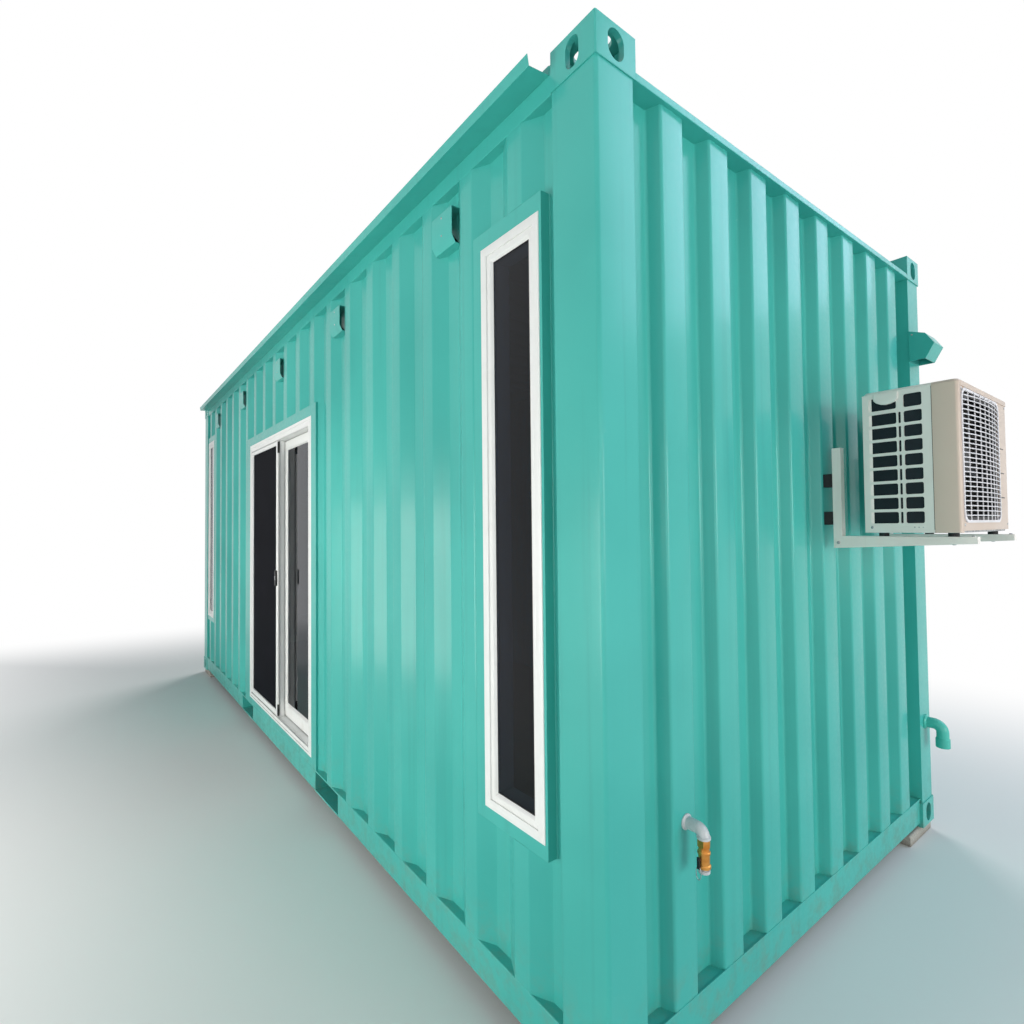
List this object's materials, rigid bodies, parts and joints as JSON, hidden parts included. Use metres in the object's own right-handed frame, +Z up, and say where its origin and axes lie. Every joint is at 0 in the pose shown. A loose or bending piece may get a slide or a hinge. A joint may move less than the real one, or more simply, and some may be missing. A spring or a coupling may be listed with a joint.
{
  "type": "shipping container cabin",
  "caption": "Shipping container converted into a small cabin, with a sliding glass door, two slot windows and a wall-hung air conditioner.",
  "frame": {"origin": "centre of the container's plan on the ground, level with the undersides of the pads", "axes": "+X along the container to the end with the air conditioner, -Y out through the door side, +Z up"},
  "size_m": [6.527, 2.516, 2.946],
  "materials": {
    "teal_paint": "gloss enamel on pressed steel, lightly chalked",
    "underside_coating": "matt bitumen coating",
    "plywood": "sealed plywood",
    "concrete": "rough cast concrete",
    "white_vinyl": "smooth extruded vinyl",
    "glass": "clear float glass",
    "screen_mesh": "fine black insect mesh",
    "black_plastic": "moulded black plastic",
    "nylon": "turned nylon",
    "ac_enamel": "baked beige-white enamel",
    "white_steel": "powder coated steel",
    "coil_fins": "dark coated fins",
    "rubber": "black rubber",
    "painted_pipe": "painted plastic pipe",
    "grey_plastic": "moulded grey plastic",
    "brass": "cast brass, dulled"
  },
  "bodies": {
    "cabin": {"corner_posts": "teal_paint", "top_corner_fittings": "teal_paint", "bottom_corner_fittings": "teal_paint", "top_side_rails": "teal_paint", "bottom_side_rails": "teal_paint", "fork_pockets": "teal_paint", "top_end_rails": "teal_paint", "bottom_end_rails": "teal_paint", "right_end_wall": "teal_paint", "left_end_wall": "teal_paint", "back_wall": "teal_paint", "front_wall_left": "teal_paint", "front_wall_right": "teal_paint", "front_wall_over_door": "teal_paint", "roof_panel": "teal_paint", "door_surround": "teal_paint", "window_surrounds": "teal_paint", "roof_gutter": "teal_paint", "wall_vents": "teal_paint", "cable_hood": "teal_paint", "floor_cross_members": "underside_coating", "floor_boards": "plywood", "footing_pads": "concrete", "door_frame": "white_vinyl", "fixed_door_panel": "white_vinyl", "window_frames": "white_vinyl", "fixed_door_glass": "glass", "window_panes": "glass", "ac_casing": "ac_enamel", "ac_fan_grille": "ac_enamel", "ac_brackets": "white_steel", "ac_fan": "black_plastic", "ac_coil": "coil_fins", "rubber_mounts": "rubber", "drain_elbow": "painted_pipe", "water_inlet": "grey_plastic", "brass_connector": "brass"},
    "sliding_door": {"sliding_door_panel": "white_vinyl", "sliding_door_glass": "glass", "sliding_door_rollers": "nylon", "sliding_door_handle": "black_plastic"},
    "screen": {"screen_panel": "white_vinyl", "screen_mesh": "screen_mesh", "screen_rollers": "nylon", "screen_latch": "black_plastic"}
  },
  "joints": [
    {"name": "sliding_door_slide", "type": "slide", "parent": "cabin", "child": "sliding_door", "axis": [-1, 0, 0], "range_m": [0, 0.62]},
    {"name": "screen_slide", "type": "slide", "parent": "cabin", "child": "screen", "axis": [-1, 0, 0], "range_m": [-0.668, 0]}
  ]
}
